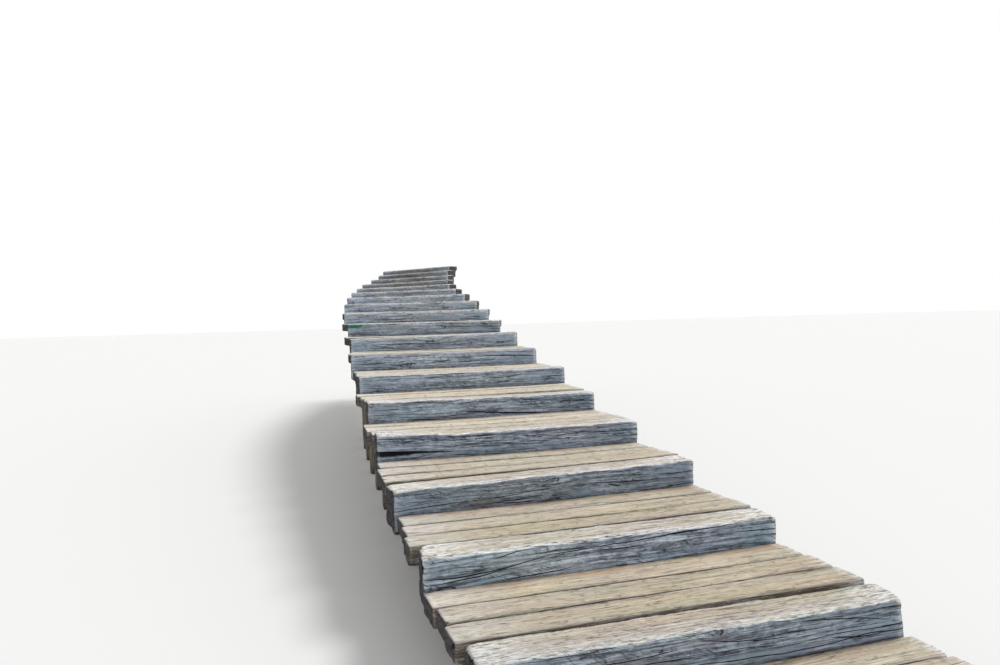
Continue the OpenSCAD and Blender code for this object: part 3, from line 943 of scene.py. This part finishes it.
def riser_material():
    """Silver beams with long checks and splits, a pale edge that is partly worn and partly a painted
    highlight, and a trodden top.
    """
    if "weathered_riser" in bpy.data.materials:
        return bpy.data.materials["weathered_riser"]
    surface = TimberSurface("weathered_riser")
    nodes, colours = surface.nodes, surface.colours
    front = surface.tones(colours.silver_dark, colours.silver, colours.silver_pale)
    patches = surface.ragged(1.6, 10.0)
    pits = surface.ragged(26.0, 26.0, 2.5, 0.65)
    front = nodes.tint(nodes.ramp(pits, 0.58, 0.68, 0.0, 0.6), front, rgba(colours.silver_dark))
    front = nodes.tint(nodes.ramp(patches, 0.47, 0.34, 0.0, 0.6), front, rgba(colours.silver_dull))
    # Beams are paler the higher they lie, but for the uppermost, which are the darkest
    paler = nodes.ramp(surface.number, 4.0, 9.0, 0.0, 0.22)
    paler = nodes.largest(paler, nodes.ramp(patches, 0.53, 0.68, 0.0, 0.4))
    front = nodes.tint(paler, front, rgba(colours.silver_pale))
    front = nodes.tint(nodes.ramp(surface.number, 11.0, 16.0, 0.0, 0.68), front, rgba(colours.silver_worn))
    # Bluer patches lie towards the foot
    low = nodes.ramp(surface.above_foot, HIDDEN_FOOT + 0.09, HIDDEN_FOOT + 0.02)
    bluer = nodes.times(low, nodes.ramp(surface.ragged(2.3, 22.0, 2.0), 0.46, 0.60, 0.0, 0.75))
    bluer = nodes.times(bluer, nodes.ramp(surface.fine, 0.42, 0.52, 0.25, 1.0))
    # So they do towards the ends, and more of them on the right
    at_ends = surface.left_to_right(0.45, 0.8)
    at_ends = nodes.times(at_ends, nodes.ramp(surface.to_end, 0.55, 0.05))
    at_ends = nodes.times(at_ends, nodes.ramp(surface.fine, 0.42, 0.54))
    front = nodes.tint(nodes.largest(bluer, at_ends), front, rgba(colours.silver_blue))
    # Just above the boards the front darkens towards the gap colour: painted shade where the front meets the
    # tread, with the dirt that gathers there
    stain = nodes.ramp(surface.above_foot, HIDDEN_FOOT + 0.018, HIDDEN_FOOT + 0.002, 0.0, 0.5)
    front = nodes.tint(nodes.times(stain, nodes.ramp(surface.fine, 0.6, 0.4)), front, rgba(colours.gap))
    top = surface.tones(colours.top_dark, colours.top, colours.top_pale, 0.10)
    top = nodes.tint(nodes.ramp(patches, 0.44, 0.60, 0.0, 0.55), top, rgba(colours.tan))
    top = nodes.tint(nodes.ramp(pits, 0.57, 0.68, 0.0, 0.6), top, rgba(colours.tan_dark))
    top = nodes.tint(nodes.ramp(surface.number, 2.5, 7.5, 0.0, 0.4), top, rgba(colours.bleached))
    # Fronts take the cool silver tones and tops the warm ones: partly wear, the tops trodden and bleached,
    # and partly painted light, the tops lit and the fronts in painted shade
    colour = nodes.tint(surface.top, front, top)
    # Bleached towards the front edge and the ends, and most of all on the round between them, where the pale
    # is also a painted highlight of the round catching the light
    ragged = surface.ragged(22.0, 60.0, 4.0, 0.7)
    near_end = nodes.ramp(surface.to_end, 0.34, 0.02)
    on_top = nodes.largest(nodes.ramp(surface.girth, 0.070, 0.0), near_end)
    on_top = nodes.times(nodes.times(on_top, surface.top), nodes.ramp(ragged, 0.40, 0.58))
    on_round = nodes.times(surface.edge, nodes.ramp(surface.girth, -0.045, -0.012))
    # The pale edge, bleached and partly a painted highlight, reaches further down the upper beams
    lip = nodes.ramp(surface.girth, -0.040, -0.016)
    lip = nodes.times(lip, nodes.ramp(surface.number, 6.5, 9.5, 0.0, 0.8))
    on_round = nodes.largest(on_round, nodes.times(lip, nodes.minus(1.0, surface.top)))
    on_round = nodes.times(on_round, nodes.ramp(ragged, 0.40, 0.52))
    # So is the rim of the front at its ends, most of all on the right: partly bleached, partly a painted
    # highlight where the light from the right catches it
    rim = nodes.times(nodes.ramp(surface.to_end, 0.050, 0.010, 0.0, 0.7), nodes.ramp(ragged, 0.40, 0.56))
    rim = nodes.times(rim, surface.left_to_right(0.4, 1.0))
    pale = nodes.times(nodes.largest(on_top, on_round, rim), 0.9)
    colour = nodes.tint(pale, colour, rgba(colours.bleached))
    colour = nodes.tint(surface.paint(), colour, rgba(colours.paint))
    fine_cracks = nodes.largest(nodes.times(surface.hairlines, 0.8), nodes.times(surface.ticks, 0.6))
    front_checks = surface.checks(spacing=0.031, width=0.0026, length=0.50, share=0.55)
    front_checks = nodes.largest(front_checks, fine_cracks)
    top_checks = surface.checks(spacing=0.008, width=0.0019, length=0.05, share=0.36)
    top_checks = nodes.largest(top_checks, nodes.times(surface.hairlines, 0.6))
    crack = nodes.blend(surface.top, front_checks, top_checks)
    crack = nodes.largest(crack, surface.splits())
    return surface.finish(colour, crack)


def tread_material():
    """Tan boards with fine checks, dark gaps and pale ends."""
    if "weathered_tread" in bpy.data.materials:
        return bpy.data.materials["weathered_tread"]
    surface = TimberSurface("weathered_tread")
    nodes, colours = surface.nodes, surface.colours
    side = surface.tones(colours.side_dark, colours.side, colours.side_pale)
    # Sand has filled the gaps of the upper treads
    filled = nodes.ramp(surface.number, FIRST_BOARD + 7, FIRST_BOARD + 12, 0.0, 0.85)
    filled = nodes.times(filled, nodes.ramp(surface.girth, -0.03, -0.01))
    side = nodes.tint(nodes.times(filled, nodes.ramp(surface.to_end, 0.05, 0.10)), side, rgba(colours.tan))
    # Higher still, what stands out past the beams on the left is painted dark: painted shade
    dark = nodes.ramp(surface.number, FIRST_BOARD + 15, FIRST_BOARD + 21, 0.0, 0.85)
    dark = nodes.times(dark, nodes.ramp(surface.to_end, 0.12, 0.09))
    dark = nodes.times(dark, nodes.math("LESS_THAN", surface.x, 0.0))
    side = nodes.tint(dark, side, rgba(colours.end_grain))
    top = surface.tones(colours.tan_dark, colours.tan, colours.tan_pale, 0.12)
    patches = nodes.ramp(surface.ragged(1.7, 14.0), 0.42, 0.66, 0.0, 0.5)
    top = nodes.tint(patches, top, rgba(colours.top))
    # The upper boards are paler
    paler = nodes.ramp(surface.number, FIRST_BOARD + 4, FIRST_BOARD + 13, 0.0, 0.6)
    top = nodes.tint(paler, top, rgba(colours.sand))
    pits = nodes.ramp(surface.ragged(22.0, 20.0, 3.0, 0.70), 0.56, 0.68, 0.0, 0.7)
    spots = nodes.ramp(surface.ragged(9.0, 16.0, 2.5, 0.6), 0.63, 0.72, 0.0, 0.55)
    grime = nodes.ramp(surface.number, FIRST_BOARD + 6, FIRST_BOARD + 11, 0.0, 0.5)
    grime = nodes.times(grime, nodes.ramp(surface.ragged(22.0, 13.0, 3.0, 0.7), 0.54, 0.66))
    top = nodes.tint(nodes.largest(pits, spots, grime), top, rgba(colours.tan_dark))
    # The rear board is stained by the damp at the foot of the next beam
    row = nodes.math("FRACT", nodes.times(nodes.minus(surface.number, FIRST_BOARD - 0.5), 1 / BOARDS))
    rear = nodes.math("GREATER_THAN", row, 1 - 1 / BOARDS)
    damp = nodes.times(rear, nodes.math("GREATER_THAN", surface.y, 0.0))
    damp = nodes.times(damp, nodes.ramp(surface.to_side, 0.105, 0.035))
    damp = nodes.times(damp, nodes.ramp(surface.ragged(1.9, 9.0), 0.38, 0.58, 0.0, 0.75))
    top = nodes.tint(damp, top, rgba(colours.stain))
    colour = nodes.tint(surface.top, side, top)
    # Dirt lies along the gaps, and the ends are bleached. The rounded edges are pale too: partly bleached,
    # partly a painted highlight
    ragged = surface.ragged(14.0, 80.0, 4.0, 0.7)
    reach = nodes.ramp(surface.ragged(2.7, 5.0), 0.42, 0.62, 0.004, 0.042)
    dirt = nodes.times(nodes.ramp(surface.to_side, reach, 0.0), nodes.ramp(ragged, 0.42, 0.54))
    colour = nodes.tint(nodes.times(dirt, 0.8), colour, rgba(colours.gap))
    on_left = nodes.ramp(surface.to_end, 0.40, 0.05, 0.0, 0.6)
    on_left = nodes.times(on_left, nodes.math("LESS_THAN", surface.x, 0.0))
    pale = nodes.largest(nodes.ramp(surface.to_end, 0.08, 0.0), on_left, surface.edge)
    # The front shows at the right end, where it is bleached too and painted with a highlight where the round
    # catches the light
    rim = nodes.times(nodes.ramp(surface.to_end, 0.16, 0.04), nodes.math("GREATER_THAN", surface.x, 0.0))
    pale = nodes.blend(surface.top, nodes.times(rim, nodes.ramp(surface.y, 0.0, -0.02)), pale)
    pale = nodes.times(pale, nodes.ramp(ragged, 0.38, 0.58, 0.0, 0.75))
    colour = nodes.tint(pale, colour, rgba(colours.bleached))
    crack = surface.checks(spacing=0.009, width=0.0016, length=0.07, share=0.26)
    crack = nodes.largest(crack, nodes.times(surface.hairlines, 0.45))
    crack = nodes.times(crack, nodes.ramp(surface.top, 0.0, 1.0, 0.4, 1.0))
    return surface.finish(colour, crack)


def support_material():
    """Dark, rough sawn bearers and posts."""
    if "rough_support" in bpy.data.materials:
        return bpy.data.materials["rough_support"]
    surface = TimberSurface("rough_support")
    middle = surface.colours.rough_sawn
    dark = tuple(0.6 * part for part in middle)
    pale = tuple(1.45 * part for part in middle)
    colour = surface.tones(dark, middle, pale)
    crack = surface.checks(spacing=0.030, width=0.0020, length=0.40, share=0.40)
    crack = surface.nodes.largest(crack, surface.hairlines)
    return surface.finish(colour, crack)


def nodes_named(start):
    """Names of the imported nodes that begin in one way, in order."""
    found = sorted(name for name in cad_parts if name.startswith(start))
    if not found:
        raise RuntimeError("the frame has no node that begins with " + start)
    return found


def wear_sizes(wear, edges, front, ends, wander=1.0, hollow=1.0, chips=1.0):
    """Sizes that one kind of timber gives to its tree: its rounds and its share of the rest."""
    return {
        "Round": edges,
        "Front round": front,
        "End round": ends,
        "Wander": wear.wander * wander,
        "Hollow": wear.hollow * hollow,
        "Chips": wear.chips * chips,
        "Seed": wear.seed,
    }


class STEPS_OT_riser_beams(bpy.types.Operator):
    """Builds the riser beams"""

    bl_idname = "steps.riser_beams"
    bl_label = "Riser Beams"

    def execute(self, context):
        wear = context.scene.steps_wear
        sizes = wear_sizes(wear, wear.beam_round, wear.beam_front_round, wear.beam_end_round)
        for k, node in enumerate(nodes_named("riser_beam_")):
            timbers = [timber_axes(points, (1, 0)) for points in solids_of(node)]
            cells = NEAR_BEAM_CELLS if k < NEAR_STEPS else FAR_BEAM_CELLS
            weathered(node, timbers, k, cells, sizes, riser_material())
        return {"FINISHED"}


class STEPS_OT_tread_boards(bpy.types.Operator):
    """Builds the boards of every tread"""

    bl_idname = "steps.tread_boards"
    bl_label = "Tread Boards"

    def execute(self, context):
        wear = context.scene.steps_wear
        edges = wear.board_round
        sizes = wear_sizes(wear, edges, edges, wear.board_end_round, chips=0.6)
        for k, node in enumerate(nodes_named("tread_boards_")):
            timbers = [timber_axes(points, (1, 0)) for points in solids_of(node)]
            if len(timbers) != BOARDS:
                raise RuntimeError(node + " has another number of boards")
            timbers.sort(key=lambda timber: timber[0][1])
            cells = NEAR_BOARD_CELLS if k < NEAR_STEPS else FAR_BOARD_CELLS
            number = FIRST_BOARD + BOARDS * k
            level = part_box(node.replace("tread_boards", "riser_beam"))[1][2]
            weathered(node, timbers, number, cells, sizes, tread_material(), level)
        return {"FINISHED"}


class STEPS_OT_supports(bpy.types.Operator):
    """Builds the bearers and the posts"""

    bl_idname = "steps.supports"
    bl_label = "Bearers and Posts"

    def execute(self, context):
        wear = context.scene.steps_wear
        edges = wear.support_round
        sizes = wear_sizes(wear, edges, edges, edges, wander=0.5, hollow=0.0, chips=0.4)
        number = FIRST_SUPPORT
        for node in nodes_named("bearers_") + nodes_named("posts_"):
            timbers = [timber_axes(points, (0, 1)) for points in solids_of(node)]
            if node.startswith("posts_"):
                timbers = [standing(axes) for axes in timbers]
            weathered(
                node, timbers, number, SUPPORT_CELLS, sizes, support_material()
            )
            number += len(timbers)
        return {"FINISHED"}


def floor_material(colour):
    """A plain matt floor."""
    material = bpy.data.materials.new("pale_floor")
    material.use_nodes = True
    shader = material.node_tree.nodes["Principled BSDF"]
    shader.inputs["Base Color"].default_value = rgba(colour)
    shader.inputs["Roughness"].default_value = 0.9
    shader.inputs["Specular IOR Level"].default_value = 0.1
    return material


class STEPS_OT_stage(bpy.types.Operator):
    """Adds the floor, the light and the camera"""

    bl_idname = "steps.stage"
    bl_label = "Stage"

    # Place of the camera, and its turn to the right, tilt and roll in degrees
    eye = (-1.3733, -1.5929, 1.4506)
    to_right = 16.24
    up = -0.86
    roll = 1.62
    # Direction of the lamp, high on the right and a little beyond the flight
    lamp_from = (0.62, 0.28, 1.0)
    lamp_spread = 20
    # Width of the camera's sensor in millimetres, and reach of the floor to each side in metres
    sensor = 36
    floor_reach = 400.0

    def execute(self, context):
        look = context.scene.steps_stage
        scene = context.scene
        reach = self.floor_reach
        mesh = bpy.data.meshes.new("floor")
        corners = [(-reach, -reach, 0), (reach, -reach, 0), (reach, reach, 0), (-reach, reach, 0)]
        mesh.from_pydata(corners, [], [(0, 1, 2, 3)])
        mesh.materials.append(floor_material(look.floor))
        floor = bpy.data.objects.new("floor", mesh)
        scene.collection.objects.link(floor)

        # The even light is white to the camera and in reflections, and softer on the timber
        world = bpy.data.worlds.new("pale_studio")
        world.use_nodes = True
        world.node_tree.nodes.clear()
        nodes = Nodes(world.node_tree)
        rays = nodes.put("ShaderNodeLightPath").node.outputs
        seen = nodes.largest(rays["Is Camera Ray"], rays["Is Glossy Ray"], rays["Is Transmission Ray"])
        strength = nodes.blend(seen, look.even_light, 1.0)
        background = nodes.put("ShaderNodeBackground", {"Color": (1, 1, 1, 1), "Strength": strength})
        nodes.put("ShaderNodeOutputWorld", {"Surface": background})
        scene.world = world

        light = bpy.data.lights.new("soft_lamp", "SUN")
        light.energy = look.lamp
        light.angle = math.radians(self.lamp_spread)
        lamp = bpy.data.objects.new("soft_lamp", light)
        lamp.rotation_euler = Vector(self.lamp_from).to_track_quat("Z", "Y").to_euler()
        scene.collection.objects.link(lamp)

        lens = bpy.data.cameras.new("camera")
        lens.sensor_width = self.sensor
        lens.lens = look.lens
        camera = bpy.data.objects.new("camera", lens)
        turn = Matrix.Rotation(math.radians(-self.to_right), 4, "Z")
        tilt = Matrix.Rotation(math.radians(90 + self.up), 4, "X")
        lean = Matrix.Rotation(math.radians(-self.roll), 4, "Z")
        camera.matrix_world = Matrix.Translation(self.eye) @ turn @ tilt @ lean
        scene.collection.objects.link(camera)
        scene.camera = camera
        scene.view_settings.view_transform = "Standard"
        return {"FINISHED"}


class STEPS_PT_panel(bpy.types.Panel):
    """Lists the pieces and their settings"""

    bl_idname = "STEPS_PT_panel"
    bl_label = "Timber Hillside Steps"
    bl_space_type = "VIEW_3D"
    bl_region_type = "UI"
    bl_category = "Steps"

    def draw(self, context):
        """Shows a button for each piece, then the settings."""
        layout = self.layout
        for operator in OPERATORS:
            layout.operator(operator.bl_idname)
        for name, group in GROUPS.items():
            box = layout.box()
            for setting in group.__annotations__:
                box.prop(getattr(context.scene, name), setting)


OPERATORS = (STEPS_OT_riser_beams, STEPS_OT_tread_boards, STEPS_OT_supports, STEPS_OT_stage)
GROUPS = {"steps_colours": StepsColours, "steps_wear": StepsWear, "steps_stage": StepsStage}


def register():
    """Makes the pieces' operators, their settings and the panel known to Blender."""
    for kind in (*GROUPS.values(), *OPERATORS, STEPS_PT_panel):
        bpy.utils.register_class(kind)
    for name, kind in GROUPS.items():
        setattr(bpy.types.Scene, name, PointerProperty(type=kind))


def unregister():
    """Takes them out again."""
    for name in GROUPS:
        delattr(bpy.types.Scene, name)
    for kind in reversed((*GROUPS.values(), *OPERATORS, STEPS_PT_panel)):
        bpy.utils.unregister_class(kind)


def main():
    """Builds every piece, then the stage."""
    register()
    bpy.ops.steps.riser_beams()
    bpy.ops.steps.tread_boards()
    bpy.ops.steps.supports()
    bpy.ops.steps.stage()


if __name__ == "__main__":
    main()
